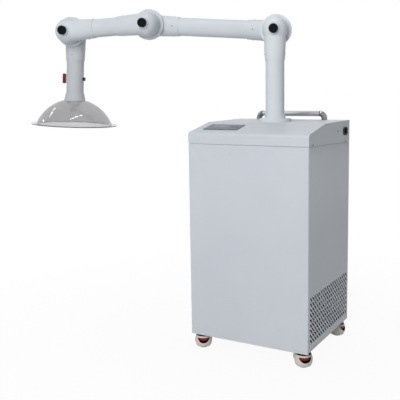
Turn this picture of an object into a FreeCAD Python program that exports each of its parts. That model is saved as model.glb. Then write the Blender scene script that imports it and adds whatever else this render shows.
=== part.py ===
import FreeCAD, Part
import math
import os
import re
import Sketcher

# Laboratory fume extractor: a wheeled sheet-metal cabinet with a fan and filters inside,
# and a three-elbow extraction arm that carries a dome hood.
# Millimetres, +X to the cabinet's right, +Y to its rear, +Z up, origin on the floor
# under the middle of the cabinet.

doc = FreeCAD.newDocument("fume_extractor")
dim = doc.addObject("Spreadsheet::Sheet", "dim")

SIZES = {
    # Cabinet shell
    "cab_width": 500,
    "cab_depth": 450,
    "body_height": 766,
    "cover_front": 42,
    "cover_rise": 32,
    "slope_run": 166,
    "cover_fold": 14,
    "seam_fall": 15,
    "sheet": 2,
    "seam_gap": 1.5,
    "front_drop": 5,
    "front_return": 6,
    "fold_radius": 4,
    "pan_height": 25,
    "rim_above": 10,
    "rim_below": 30,
    # Perforated zone of the side panels
    "grille_low": 30,
    "grille_height": 172,
    "grille_border": 6,
    "hole_pitch": 29,
    "row_pitch": 14.5,
    "hole_size": 12,
    # Fan chamber
    "bracket_height": 60,
    "bracket_width": 130,
    "bracket_length": 150,
    "bracket_foot": 24,
    "bracket_sheet": 3,
    "motor_radius": 55,
    "motor_height": 60,
    "motor_neck": 14,
    "motor_neck_radius": 26,
    "shaft_radius": 6,
    "shaft_clear": 0.05,
    "hub_radius": 22,
    "hub_height": 24,
    "fan_radius": 140,
    "fan_plate": 2.5,
    "blade_height": 60,
    "blade_count": 7,
    "blade_root": 78,
    "blade_sweep": 58,
    "blade_arc": 110,
    "blade_sheet": 3,
    "inlet_radius": 76,
    "inlet_wall": 2,
    "inlet_flare": 16,
    "inlet_flange": 22,
    "inlet_lap": 8,
    "eye_gap": 3,
    # Filters, stacked on the fan deck
    "carbon_height": 120,
    "hepa_height": 150,
    "prefilter_height": 25,
    "filter_gap": 8,
    "filter_border": 20,
    "filter_recess": 5,
    # Display panel on the slope
    "panel_side": 114,
    "panel_run": 85,
    "panel_width": 148,
    "panel_depth": 74,
    "panel_plate": 2.5,
    "panel_box_inset": 9,
    "panel_box_depth": 16,
    "board_inset": 5,
    "board_thick": 1.6,
    "fit_gap": 0.4,
    # Power inlet on the right side of the cover
    "inlet_back": 53,
    "inlet_up": 32,
    "inlet_length": 50,
    "inlet_tall": 32,
    "inlet_plate": 2.5,
    "inlet_corner": 12,
    "socket_length": 26,
    "socket_tall": 20,
    "socket_depth": 17,
    "socket_wall": 3,
    "pin_length": 12,
    "pin_thick": 2,
    "pin_tall": 4,
    "pin_step": 7,
    # Push handle on the cover
    "handle_span": 296,
    "handle_back": 16,
    "handle_rise": 25.5,
    "handle_radius": 11.5,
    "handle_bend": 20,
    # Arm: tubes and swivel base
    "post_y": 42,
    "arm_swing": 18.2,
    "tube_radius": 37.5,
    "tube_wall": 3,
    "flange_radius": 66,
    "flange_thick": 12,
    "collar_height": 30,
    "collar_foot": 42,
    "collar_wall": 3.5,
    "spigot_length": 34,
    "spigot_wall": 3,
    "swivel_clear": 0.08,
    # Arm: elbow positions
    "joint_rise": 366,
    "upper_reach": 533,
    "upper_lift": 4.2,
    "fore_reach": 347,
    "fore_dip": 3.1,
    "drop_lean": 3.2,
    # Arm: elbow half shells
    "elbow_offset": 46,
    "dome_radius": 51,
    "shell_wall": 4.5,
    "ring_radius": 63,
    "ring_thick": 6,
    "seal_thick": 3,
    "seal_inset": 3,
    "sleeve_length": 122,
    "sleeve_root": 45.5,
    "sleeve_lip": 2.6,
    "socket_stop": 70,
    "glue_gap": 0.15,
    "boss_radius": 23,
    "boss_rise": 2,
    "rod_radius": 4,
    "rod_clear": 0.06,
    "rod_head_radius": 9,
    "rod_head": 7,
    "knob_radius": 18.2,
    "knob_height": 17,
    "knob_round": 4,
    "knob_top": 5,
    "knob_dish": 1.2,
    "knob_dish_radius": 12,
    "lock_drop": 22,
    "lock_radius": 5.5,
    "lock_head": 13,
    "lock_stem": 3,
    # Hood, collar and damper on the drop tube
    "drop_length": 286,
    "damper_down": 200,
    "damper_gap": 1,
    "damper_thick": 2.5,
    "damper_hub": 5.5,
    "damper_hub_length": 56,
    "damper_shaft": 3,
    "handle_standoff": 7,
    "lever_length": 43,
    "lever_width": 13,
    "lever_thick": 12,
    "nut_radius": 7.5,
    "nut_length": 8,
    "nut_gap": 0.8,
    "neck_lap": 24,
    "neck_drop": 10,
    "neck_wall": 2,
    "neck_foot": 47,
    "hood_top": 55,
    "hood_mouth": 44,
    "hood_wall": 3,
    "hood_depth": 106,
    "hood_foot": 166,
    "hood_arc": 184,
    "hood_radius": 187.5,
    # Levelling casters
    "caster_height": 72,
    "caster_side": 33,
    "caster_front": 39,
    "caster_rear": 34,
    "plate_size": 56,
    "plate_thick": 4,
    "boss_drop": 6,
    "king_boss": 22,
    "king_radius": 6,
    "king_length": 10,
    "tower_foot": 28,
    "tower_top": 24,
    "tower_bulge": 41,
    "house_low": 60,
    "wheel_trail": 46,
    "wheel_radius": 20,
    "wheel_width": 20,
    "wheel_gap": 1.5,
    "fender_wall": 3.5,
    "cheek": 10,
    "axle_radius": 3.5,
    "dial_radius": 29,
    "dial_high": 23,
    "dial_height": 11,
    "dial_gap": 0.5,
    "window_width": 48,
    "window_arc": 24.2,
    "stem_radius": 5,
    "stem_top": 23,
    "pad_radius": 18,
    "pad_tread": 4,
    "pad_rise": 6,
    "stem_gap": 0.8,
}

for row, (alias, value) in enumerate(SIZES.items(), start=1):
    dim.set(f"A{row}", alias)
    dim.set(f"B{row}", str(value))
    dim.setAlias(f"B{row}", alias)
doc.recompute()

WORD = re.compile(r"[a-z][a-z_]*")


def rule(text):
    """An expression in which each size stands for its cell of the sheet."""
    return WORD.sub(lambda found: f"dim.{found[0]}" if found[0] in SIZES else found[0], str(text))


def number(text):
    """The present value of a rule."""
    return float(FreeCAD.Units.Quantity(dim.evalExpression(rule(text))).Value)


def bind(item, links):
    """Tie properties of a document object to sizes of the sheet."""
    for name, text in links.items():
        item.setExpression(name, rule(text))


# Levels and faces that several pieces share
BASE = "caster_height"
SEAM = "(caster_height + body_height)"
TOP = "(caster_height + body_height + cover_front + cover_rise)"
HALF_X = "(cab_width / 2)"
HALF_Y = "(cab_depth / 2)"
IN_X = "(cab_width / 2 - sheet)"
IN_Y = "(cab_depth / 2 - sheet)"
PANEL_TOP = "(caster_height + body_height - seam_gap)"
FRONT_IN = "(fold_radius - cab_depth / 2)"
MOTOR_FOOT = "(caster_height + sheet + bracket_height)"
FAN_FOOT = f"({MOTOR_FOOT} + motor_height + motor_neck)"
SHROUD = f"({FAN_FOOT} + fan_plate + blade_height)"
DECK = f"({SHROUD} + fan_plate - inlet_lap + inlet_flare + inlet_lap * 2)"

AXES = {
    "x": FreeCAD.Vector(1, 0, 0),
    "y": FreeCAD.Vector(0, 1, 0),
    "z": FreeCAD.Vector(0, 0, 1),
    "-x": FreeCAD.Vector(-1, 0, 0),
    "-y": FreeCAD.Vector(0, -1, 0),
    "-z": FreeCAD.Vector(0, 0, -1),
}


def frame(x=0, y=0, z=0, axis="z", turn=0):
    """The expression of a placement: an offset, then a turn about one axis."""
    spin = AXES[axis]
    return f"placement(vector({x}; {y}; {z}); rotation(vector({spin.x}; {spin.y}; {spin.z}); {turn}))"


def new_body(label, place=None):
    """An empty body that carries one piece of the object."""
    body = doc.addObject("PartDesign::Body", label)
    body.Label = label
    if place:
        body.setExpression("Placement", rule(place))
    return body


def solid(body, kind, name, at=(0, 0, 0), axis="z", **sizes):
    """Add or cut a box, cylinder, cone or sphere, with its own z along the axis."""
    item = body.newObject(f"PartDesign::{kind}", name)
    item.Placement = FreeCAD.Placement(FreeCAD.Vector(), FreeCAD.Rotation(AXES["z"], AXES[axis]))
    bind(item, {f"Placement.Base.{letter}": text for letter, text in zip("xyz", at)})
    bind(item, sizes)
    return item


def block(body, kind, name, low, high):
    """A box between two corners."""
    spans = [f"({top}) - ({bottom})" for bottom, top in zip(low, high)]
    return solid(body, kind, name, at=low, Length=spans[0], Width=spans[1], Height=spans[2])


def origin_plane(body, role):
    return next(part for part in body.Origin.OriginFeatures if part.Role == role)


def outline(body, name, plane, corners, arcs=None, level=0):
    """A closed sketch through corners given as rules, with round sides where arcs gives a radius.

    arcs maps the number of a side to its radius: positive turns left on the way along the outline.
    """
    sketch = body.newObject("Sketcher::SketchObject", name)
    sketch.AttachmentSupport = (origin_plane(body, plane), [""])
    sketch.MapMode = "FlatFace"
    sketch.setExpression("AttachmentOffset.Base.z", rule(level))
    arcs = arcs or {}
    points = [FreeCAD.Vector(number(x), number(y), 0) for x, y in corners]
    starts = []
    for side, start in enumerate(points):
        end = points[(side + 1) % len(points)]
        if side not in arcs:
            starts.append((sketch.addGeometry(Part.LineSegment(start, end)), 1, 2))
            continue
        radius = number(arcs[side])
        chord = end - start
        bulge = abs(radius) - math.sqrt(max(radius * radius - chord.Length ** 2 / 4, 0))
        left = FreeCAD.Vector(-chord.y, chord.x, 0).normalize()
        middle = (start + end) * 0.5 - left * math.copysign(bulge, radius)
        edge = sketch.addGeometry(Part.Arc(start, middle, end))
        first = 1 if sketch.getPoint(edge, 1).distanceToPoint(start) < 1e-6 else 2
        starts.append((edge, first, 3 - first))
        sketch.addConstraint(Sketcher.Constraint("Radius", edge, abs(radius)))
        sketch.setExpression(f"Constraints[{sketch.ConstraintCount - 1}]", rule(f"abs({arcs[side]})"))
    for side, (edge, first, last) in enumerate(starts):
        follower = starts[(side + 1) % len(starts)]
        sketch.addConstraint(Sketcher.Constraint("Coincident", edge, last, follower[0], follower[1]))
        for kind, value, text in zip(("DistanceX", "DistanceY"), points[side], corners[side]):
            sketch.addConstraint(Sketcher.Constraint(kind, -1, 1, edge, first, value))
            sketch.setExpression(f"Constraints[{sketch.ConstraintCount - 1}]", rule(text))
    return sketch


def turned(body, kind, name, corners, arcs=None):
    """Turn an outline of radius and height about the body's z axis."""
    sketch = outline(body, f"{name}_outline", "XZ_Plane", corners, arcs)
    item = body.newObject(f"PartDesign::{kind}", name)
    item.Profile = sketch
    item.ReferenceAxis = (sketch, ["V_Axis"])
    item.Angle = 360
    return item


def pad(body, name, sketch, length, middle=False, back=False):
    item = body.newObject("PartDesign::Pad", name)
    item.Profile = sketch
    bind(item, {"Length": length})
    item.Midplane = middle
    item.Reversed = back
    return item


pieces = []


def keep(piece):
    """List a finished piece for export under its label."""
    pieces.append(piece)
    return piece


# Base pan: a folded tray that the casters bolt to and that the panels stand round
pan = keep(new_body("base_pan"))
block(pan, "AdditiveBox", "tray", (f"-{IN_X}", FRONT_IN, BASE), (IN_X, IN_Y, f"{BASE} + pan_height"))
block(pan, "SubtractiveBox", "tray_inside",
      (f"sheet - {IN_X}", f"{FRONT_IN} + sheet", f"{BASE} + sheet"),
      (f"{IN_X} - sheet", f"{IN_Y} - sheet", f"{BASE} + pan_height + sheet"))

# Front panel: a plain sheet with folded side returns, hanging a little below the base
front = keep(new_body("front_panel"))
front_edge = f"-{HALF_Y}"
fold_end = f"front_return - {HALF_Y}"
bend_x = f"({HALF_X} - fold_radius)"
fold = outline(front, "fold", "XY_Plane", [
    (f"-{bend_x}", front_edge),
    (bend_x, front_edge),
    (HALF_X, FRONT_IN),
    (HALF_X, fold_end),
    (IN_X, fold_end),
    (IN_X, FRONT_IN),
    (bend_x, f"-{IN_Y}"),
    (f"-{bend_x}", f"-{IN_Y}"),
    (f"-{IN_X}", FRONT_IN),
    (f"-{IN_X}", fold_end),
    (f"-{HALF_X}", fold_end),
    (f"-{HALF_X}", FRONT_IN),
], arcs={1: "fold_radius", 5: "-(fold_radius - sheet)", 7: "-(fold_radius - sheet)", 11: "fold_radius"},
    level=f"{BASE} - front_drop")
pad(front, "sheet_height", fold, "body_height - seam_gap + front_drop")

# Rear panel: a flat service sheet between the side panels
rear = keep(new_body("rear_panel"))
block(rear, "AdditiveBox", "service_sheet", (f"-{IN_X}", IN_Y, BASE),
      (IN_X, HALF_Y, f"{PANEL_TOP} - seam_fall"))


def side_panel(label, x_inside):
    """A flat side sheet whose lower zone is pierced by staggered rows of square holes set on edge.

    Its top edge follows the cover's seam, which falls to the rear.
    """
    panel = keep(doc.addObject("Part::Feature", label))
    panel.Label = label
    front_gap = "(front_return + seam_gap)"
    low_y = number(f"{front_gap} - {HALF_Y}")
    high_y = number(HALF_Y)
    low_z = number(BASE)
    front_z = number(f"{PANEL_TOP} - seam_fall * {front_gap} / cab_depth")
    rear_z = number(f"{PANEL_TOP} - seam_fall")
    pitch = number("hole_pitch")
    row_pitch = number("row_pitch")
    half = number("hole_size / 2")
    rows = int(number("grille_height") // row_pitch) + 1
    first_y = low_y + number("grille_border") + half
    last_y = high_y - number("grille_border") - half
    first_z = low_z + number("grille_low") + half

    def ring(corners):
        return Part.makePolygon([FreeCAD.Vector(x_inside, y, z) for y, z in corners + corners[:1]])

    wires = [ring([(low_y, low_z), (high_y, low_z), (high_y, rear_z), (low_y, front_z)])]
    for line in range(rows):
        z = first_z + line * row_pitch
        y = first_y + pitch / 2 * (line % 2)
        while y <= last_y:
            wires.append(ring([(y - half, z), (y, z - half), (y + half, z), (y, z + half)]))
            y += pitch
    panel.Shape = Part.Face(wires, "Part::FaceMakerBullseye").extrude(FreeCAD.Vector(number("sheet"), 0, 0))
    return panel


side_panel("right_side_panel", number(IN_X))
side_panel("left_side_panel", number(f"-{HALF_X}"))

# Top cover: a folded lid with a sloped front, seated by an inner rim inside the four panels
cover = keep(new_body("top_cover"))
slope_foot = f"({SEAM} + cover_front)"
slope_length = "sqrt(slope_run ^ 2 + cover_rise ^ 2)"


def lid_section(name, inset, low_front, low_rear):
    """The lid's section, inset from its outside, with a round fold between the front and the slope."""
    radius = f"(cover_fold - {inset})"
    reach = f"({radius} * slope_run / ({slope_length} + cover_rise))"
    front_y = f"({inset} - {HALF_Y})"
    foot_z = f"({slope_foot} + {inset} * (cover_rise - {slope_length}) / slope_run)"
    crest_y = f"({front_y} + ({TOP} - {inset} - {foot_z}) * slope_run / cover_rise)"
    return outline(cover, name, "YZ_Plane", [
        (front_y, low_front),
        (f"{HALF_Y} - {inset}", low_rear),
        (f"{HALF_Y} - {inset}", f"{TOP} - {inset}"),
        (crest_y, f"{TOP} - {inset}"),
        (f"{front_y} + {reach} * slope_run / {slope_length}",
         f"{foot_z} + {reach} * cover_rise / {slope_length}"),
        (front_y, f"{foot_z} - {reach}"),
    ], arcs={4: radius})


lid = lid_section("lid_outline", 0, SEAM, f"{SEAM} - seam_fall")
pad(cover, "lid", lid, "cab_width", middle=True)
rim_low = f"{SEAM} - rim_below"
hollow_cut = cover.newObject("PartDesign::Pocket", "hollow")
hollow_cut.Profile = lid_section("hollow_outline", "sheet", rim_low, rim_low)
bind(hollow_cut, {"Length": "cab_width - 2 * sheet"})
hollow_cut.Midplane = True
block(cover, "AdditiveBox", "rim", (f"-{IN_X}", FRONT_IN, rim_low), (IN_X, IN_Y, f"{SEAM} + rim_above"))
block(cover, "SubtractiveBox", "rim_inside",
      (f"sheet - {IN_X}", f"{FRONT_IN} + sheet", f"{rim_low} - sheet"),
      (f"{IN_X} - sheet", f"{IN_Y} - sheet", f"{SEAM} + rim_above + sheet"))
solid(cover, "SubtractiveCylinder", "arm_hole", at=(0, "post_y", f"{TOP} - 2 * sheet"),
      Radius="tube_radius - tube_wall + spigot_wall + fit_gap", Height="3 * sheet")

# Slope frame: the display panel's middle on the sloped face, with z square to it
SLOPE = frame(f"panel_side - {HALF_X}", f"panel_run - {HALF_Y}",
              f"{slope_foot} + panel_run * cover_rise / slope_run", "x", "atan(cover_rise / slope_run)")
BOX_X = "(panel_width / 2 - panel_box_inset)"
BOX_Y = "(panel_depth / 2 - panel_box_inset)"
window = block(cover, "SubtractiveBox", "panel_window", (0, 0, 0), (
    f"2 * ({BOX_X} + fit_gap)", f"2 * ({BOX_Y} + fit_gap)", "4 * sheet"))
window.setExpression("Placement", rule(
    f"{SLOPE} * " + frame(f"-({BOX_X} + fit_gap)", f"-({BOX_Y} + fit_gap)", "-2 * sheet")))
INLET_Y = f"({HALF_Y} - inlet_back)"
INLET_Z = f"({SEAM} + inlet_up)"
SOCKET_Y = "(socket_length / 2 + socket_wall)"
SOCKET_Z = "(socket_tall / 2 + socket_wall)"
block(cover, "SubtractiveBox", "inlet_hole",
      (f"{IN_X} - sheet", f"{INLET_Y} - {SOCKET_Y} - fit_gap", f"{INLET_Z} - {SOCKET_Z} - fit_gap"),
      (f"{HALF_X} + sheet", f"{INLET_Y} + {SOCKET_Y} + fit_gap", f"{INLET_Z} + {SOCKET_Z} + fit_gap"))

# Motor bracket: a hat-section stool on the base pan
bracket = keep(new_body("motor_bracket"))
leg_out = "(bracket_width / 2)"
leg_in = "(bracket_width / 2 - bracket_sheet)"
foot_out = "(bracket_width / 2 + bracket_foot)"
stool_z = f"({BASE} + sheet)"
hat = outline(bracket, "hat_section", "XZ_Plane", [
    (f"-{foot_out}", stool_z),
    (f"-{leg_in}", stool_z),
    (f"-{leg_in}", f"{MOTOR_FOOT} - bracket_sheet"),
    (leg_in, f"{MOTOR_FOOT} - bracket_sheet"),
    (leg_in, stool_z),
    (foot_out, stool_z),
    (foot_out, f"{stool_z} + bracket_sheet"),
    (leg_out, f"{stool_z} + bracket_sheet"),
    (leg_out, MOTOR_FOOT),
    (f"-{leg_out}", MOTOR_FOOT),
    (f"-{leg_out}", f"{stool_z} + bracket_sheet"),
    (f"-{foot_out}", f"{stool_z} + bracket_sheet"),
])
pad(bracket, "stool", hat, "bracket_length", middle=True)

# Fan motor: a can with a bearing neck and an upright shaft
motor = keep(new_body("fan_motor", frame(z=MOTOR_FOOT)))
solid(motor, "AdditiveCylinder", "can", Radius="motor_radius", Height="motor_height")
solid(motor, "AdditiveCylinder", "neck", at=(0, 0, "motor_height"),
      Radius="motor_neck_radius", Height="motor_neck")
solid(motor, "AdditiveCylinder", "shaft", at=(0, 0, "motor_height"),
      Radius="shaft_radius", Height="motor_neck + hub_height")

# Fan impeller: backward-curved blades between a back plate with its hub and a shroud ring
impeller = keep(new_body("fan_impeller", frame(z=FAN_FOOT)))
turned(impeller, "Revolution", "back_plate", [
    ("shaft_radius + shaft_clear", 0),
    ("fan_radius", 0),
    ("fan_radius", "fan_plate"),
    ("hub_radius", "fan_plate"),
    ("hub_radius", "hub_height"),
    ("shaft_radius + shaft_clear", "hub_height"),
])
tip_x = "(fan_radius - blade_sheet) * cos(blade_sweep)"
tip_y = "(fan_radius - blade_sheet) * sin(blade_sweep)"
blade_outline = outline(impeller, "blade_outline", "XY_Plane", [
    ("blade_root", 0),
    ("blade_root + blade_sheet", 0),
    (f"{tip_x} + blade_sheet / 2", f"{tip_y} - blade_sheet / 2"),
    (f"{tip_x} - blade_sheet / 2", f"{tip_y} + blade_sheet / 2"),
], arcs={1: "blade_arc", 3: "-(blade_arc - blade_sheet)"}, level="fan_plate")
blade = pad(impeller, "blade", blade_outline, "blade_height")
doc.recompute()
blades = impeller.newObject("PartDesign::PolarPattern", "blades")
blades.Originals = [blade]
blades.Axis = (blade_outline, ["N_Axis"])
blades.Angle = 360
bind(blades, {"Occurrences": "blade_count"})
impeller.Tip = blades
turned(impeller, "Revolution", "shroud", [
    ("inlet_radius + inlet_wall + eye_gap", "fan_plate + blade_height"),
    ("fan_radius", "fan_plate + blade_height"),
    ("fan_radius", "2 * fan_plate + blade_height"),
    ("inlet_radius + inlet_wall + eye_gap", "2 * fan_plate + blade_height"),
])

# Fan inlet ring: a flared nozzle under the fan deck that dips into the shroud's eye
nozzle = keep(new_body("fan_inlet_ring", frame(z=DECK)))
nozzle_low = f"{SHROUD} + fan_plate - inlet_lap - {DECK}"
turned(nozzle, "Revolution", "nozzle", [
    ("inlet_radius", nozzle_low),
    ("inlet_radius + inlet_wall", nozzle_low),
    ("inlet_radius + inlet_wall", "-inlet_flare"),
    ("inlet_radius + inlet_flare", "-inlet_wall"),
    ("inlet_radius + inlet_flare + inlet_flange", "-inlet_wall"),
    ("inlet_radius + inlet_flare + inlet_flange", 0),
    ("inlet_radius + inlet_flare", 0),
    ("inlet_radius", "-inlet_flare"),
], arcs={2: "-(inlet_flare - inlet_wall)", 6: "inlet_flare"})

# Fan deck: the plate that parts the fan chamber from the filters
deck = keep(new_body("fan_deck"))
block(deck, "AdditiveBox", "plate", (f"-{IN_X}", FRONT_IN, DECK), (IN_X, IN_Y, f"{DECK} + sheet"))
solid(deck, "SubtractiveCylinder", "air_hole", at=(0, 0, f"{DECK} - sheet"),
      Radius="inlet_radius + inlet_flare", Height="3 * sheet")


def filter_cell(label, low, height):
    """A framed filter cell, recessed on both faces inside its border."""
    cell = keep(new_body(label, frame(z=low)))
    side_x = f"({IN_X} - filter_gap)"
    side_y = f"({IN_Y} - filter_gap)"
    media_x = f"({side_x} - filter_border)"
    media_y = f"({side_y} - filter_border)"
    block(cell, "AdditiveBox", "cell", (f"-{side_x}", f"-{side_y}", 0), (side_x, side_y, height))
    block(cell, "SubtractiveBox", "top_recess", (f"-{media_x}", f"-{media_y}", f"{height} - filter_recess"),
          (media_x, media_y, f"{height} + filter_recess"))
    block(cell, "SubtractiveBox", "bottom_recess", (f"-{media_x}", f"-{media_y}", "-filter_recess"),
          (media_x, media_y, "filter_recess"))
    return cell


stack = f"({DECK} + sheet)"
for label, height in (("carbon_filter", "carbon_height"), ("hepa_filter", "hepa_height"),
                      ("prefilter", "prefilter_height")):
    filter_cell(label, stack, height)
    stack = f"({stack} + {height})"

# Display panel: a thin plate on the slope with its electronics box behind it
panel = keep(new_body("control_panel", SLOPE))
block(panel, "AdditiveBox", "face_plate", ("-panel_width / 2", "-panel_depth / 2", 0),
      ("panel_width / 2", "panel_depth / 2", "panel_plate"))
block(panel, "AdditiveBox", "electronics_box", (f"-{BOX_X}", f"-{BOX_Y}", "-panel_box_depth"),
      (BOX_X, BOX_Y, 0))
board = keep(new_body("control_board", SLOPE))
block(board, "AdditiveBox", "board",
      (f"board_inset - {BOX_X}", f"board_inset - {BOX_Y}", "-panel_box_depth - board_thick"),
      (f"{BOX_X} - board_inset", f"{BOX_Y} - board_inset", "-panel_box_depth"))

# Power inlet: a flanged socket with three pins, on the right wall of the cover
inlet = keep(new_body("power_inlet", frame(HALF_X, INLET_Y, INLET_Z)))
flange_y = "(inlet_length / 2)"
flange_z = "(inlet_tall / 2)"
plate = outline(inlet, "flange_outline", "YZ_Plane", [
    (f"inlet_corner - {flange_y}", f"-{flange_z}"),
    (f"{flange_y} - inlet_corner", f"-{flange_z}"),
    (flange_y, f"inlet_corner - {flange_z}"),
    (flange_y, f"{flange_z} - inlet_corner"),
    (f"{flange_y} - inlet_corner", flange_z),
    (f"inlet_corner - {flange_y}", flange_z),
    (f"-{flange_y}", f"{flange_z} - inlet_corner"),
    (f"-{flange_y}", f"inlet_corner - {flange_z}"),
], arcs={1: "inlet_corner", 3: "inlet_corner", 5: "inlet_corner", 7: "inlet_corner"})
pad(inlet, "flange", plate, "inlet_plate")
block(inlet, "AdditiveBox", "shell", ("-socket_depth - socket_wall", f"-{SOCKET_Y}", f"-{SOCKET_Z}"),
      (0, SOCKET_Y, SOCKET_Z))
block(inlet, "SubtractiveBox", "socket", ("-socket_depth", "-socket_length / 2", "-socket_tall / 2"),
      ("2 * inlet_plate", "socket_length / 2", "socket_tall / 2"))
for name, step, rise in (("line_pin", -1, 0), ("earth_pin", 0, 1), ("neutral_pin", 1, 0)):
    block(inlet, "AdditiveBox", name,
          ("-socket_depth", f"{step} * pin_step - pin_thick / 2", f"({rise} - 0.5) * pin_tall"),
          ("pin_length - socket_depth", f"{step} * pin_step + pin_thick / 2", f"({rise} + 0.5) * pin_tall"))

# Push handle: a bent stainless tube standing on the cover
handle = keep(new_body("push_handle", frame(0, f"{HALF_Y} - handle_back", TOP)))
path = handle.newObject("Sketcher::SketchObject", "bend_line")
path.AttachmentSupport = (origin_plane(handle, "XZ_Plane"), [""])
path.MapMode = "FlatFace"
leg = number("handle_span / 2")
rise = number("handle_rise")
bend = number("handle_bend")
run = [FreeCAD.Vector(x, z, 0) for x, z in (
    (-leg, 0), (-leg, rise - bend), (bend - leg, rise), (leg - bend, rise), (leg, rise - bend), (leg, 0))]
swing = bend * (1 - math.sqrt(0.5))
path.addGeometry(Part.LineSegment(run[0], run[1]))
path.addGeometry(Part.Arc(run[1], FreeCAD.Vector(swing - leg, rise - swing, 0), run[2]))
path.addGeometry(Part.LineSegment(run[2], run[3]))
path.addGeometry(Part.Arc(run[3], FreeCAD.Vector(leg - swing, rise - swing, 0), run[4]))
path.addGeometry(Part.LineSegment(run[4], run[5]))
ring = handle.newObject("Sketcher::SketchObject", "tube_section")
ring.AttachmentSupport = (origin_plane(handle, "XY_Plane"), [""])
ring.MapMode = "FlatFace"
ring.addGeometry(Part.Circle(FreeCAD.Vector(-leg, 0, 0), AXES["z"], number("handle_radius")))
ring.addConstraint(Sketcher.Constraint("Radius", 0, number("handle_radius")))
ring.setExpression("Constraints[0]", rule("handle_radius"))
grip = handle.newObject("PartDesign::AdditivePipe", "grip")
grip.Profile = ring
grip.Spine = path

# Arm base: a bolted disc with a short collar in which the post turns
flange = keep(new_body("arm_base_flange", frame(0, "post_y", TOP)))
airway = "(tube_radius - tube_wall)"
bearing = "(tube_radius + swivel_clear)"
turned(flange, "Revolution", "swivel_base", [
    (airway, "-spigot_length"),
    (f"{airway} + spigot_wall", "-spigot_length"),
    (f"{airway} + spigot_wall", 0),
    ("flange_radius", 0),
    ("flange_radius", "flange_thick"),
    ("collar_foot", "flange_thick"),
    (f"{bearing} + collar_wall", "collar_height"),
    (bearing, "collar_height"),
    (bearing, "flange_thick / 2"),
    (airway, "flange_thick / 2"),
])

# Arm frames: x runs along each tube, y to the front, from the middle of the elbow's ring
SWING = frame(0, "post_y", TOP, "z", "180 + arm_swing")
JOINT_2 = ("upper_reach * cos(upper_lift)", "joint_rise + upper_reach * sin(upper_lift)")
JOINT_3 = (f"({JOINT_2[0]} + fore_reach * cos(fore_dip))", f"({JOINT_2[1]} - fore_reach * sin(fore_dip))")
POST = f"{SWING} * {frame(0, '-elbow_offset', 'joint_rise', 'y', 90)}"
UPPER = f"{SWING} * {frame(0, '-elbow_offset', 'joint_rise', 'y', '-upper_lift')}"
FORE = f"{SWING} * {frame(JOINT_2[0], '-elbow_offset', JOINT_2[1], 'y', 'fore_dip')}"
DROP = f"{SWING} * {frame(JOINT_3[0], '-elbow_offset', JOINT_3[1], 'y', '90 - drop_lean')}"
FRONT_HALF = frame(axis="x", turn=-90)
REAR_HALF = frame(axis="x", turn=90)


def far_end(length):
    """The frame of a tube's other elbow, looking back along the tube."""
    return frame(length, axis="y", turn=180)


def along(segment, side):
    """A frame with z along a segment's tube, in the front (1) or the rear (-1) plane of the arm."""
    return f"{segment} * {frame(y=f'{side} * elbow_offset', axis='y', turn=90)}"


BOSS = "(elbow_offset + dome_radius + boss_rise)"


def half_shell(label, place):
    """Half an elbow: a domed shell on a flange ring, with a tapered socket for its tube.

    In its own frame z is the elbow's axis, away from the joint face, and the tube runs along x.
    """
    shell = keep(new_body(label, place))
    face = "seal_thick / 2"
    inner = "(dome_radius - shell_wall)"
    turned(shell, "Revolution", "dome", [
        (0, face),
        ("ring_radius", face),
        ("ring_radius", f"{face} + ring_thick"),
        ("dome_radius", f"{face} + ring_thick"),
        ("dome_radius", "elbow_offset"),
        ("boss_radius", "elbow_offset + sqrt(dome_radius ^ 2 - boss_radius ^ 2)"),
        ("boss_radius", BOSS),
        (0, BOSS),
    ], arcs={4: "dome_radius"})
    solid(shell, "AdditiveCone", "sleeve", at=(0, 0, "elbow_offset"), axis="x", Radius1="sleeve_root",
          Radius2="tube_radius + sleeve_lip", Height="sleeve_length")
    turned(shell, "Groove", "chamber", [
        (0, f"{face} - shell_wall"),
        (inner, f"{face} - shell_wall"),
        (inner, "elbow_offset"),
        ("boss_radius", f"elbow_offset + sqrt({inner} ^ 2 - boss_radius ^ 2)"),
        (0, f"elbow_offset + sqrt({inner} ^ 2 - boss_radius ^ 2)"),
    ], arcs={2: inner})
    solid(shell, "SubtractiveCylinder", "airway", at=(0, 0, "elbow_offset"), axis="x",
          Radius="tube_radius - tube_wall", Height="sleeve_length")
    solid(shell, "SubtractiveCylinder", "tube_socket", at=("socket_stop", 0, "elbow_offset"), axis="x",
          Radius="tube_radius + glue_gap", Height="sleeve_length")
    solid(shell, "SubtractiveCylinder", "rod_hole", at=(0, 0, "elbow_offset"),
          Radius="rod_radius + rod_clear", Height="2 * dome_radius")
    return shell


def straight_tube(label, place, start, end):
    """A plain extruded tube between two heights of its own frame."""
    tube = keep(new_body(label, place))
    solid(tube, "AdditiveCylinder", "outside", at=(0, 0, start), Radius="tube_radius",
          Height=f"({end}) - ({start})")
    solid(tube, "SubtractiveCylinder", "bore", at=(0, 0, f"({start}) - tube_wall"),
          Radius="tube_radius - tube_wall", Height=f"({end}) - ({start}) + 2 * tube_wall")
    return tube


def tie_rod(place):
    """The stainless rod of one elbow, with its head on the rear dome and its end in the knob."""
    rod = new_body("rod", place)
    solid(rod, "AdditiveCylinder", "rod", at=(0, 0, f"-{BOSS} - knob_height + knob_top"),
          Radius="rod_radius", Height=f"2 * {BOSS} + knob_height - knob_top")
    solid(rod, "AdditiveCylinder", "head", at=(0, 0, BOSS), Radius="rod_head_radius", Height="rod_head")
    return rod


def seal_ring(place):
    """The rubber ring between the two flange rings of one elbow."""
    seal = new_body("seal", place)
    turned(seal, "Revolution", "ring", [
        ("dome_radius - shell_wall", "-seal_thick / 2"),
        ("ring_radius - seal_inset", "-seal_thick / 2"),
        ("ring_radius - seal_inset", "seal_thick / 2"),
        ("dome_radius - shell_wall", "seal_thick / 2"),
    ])
    return seal


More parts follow.
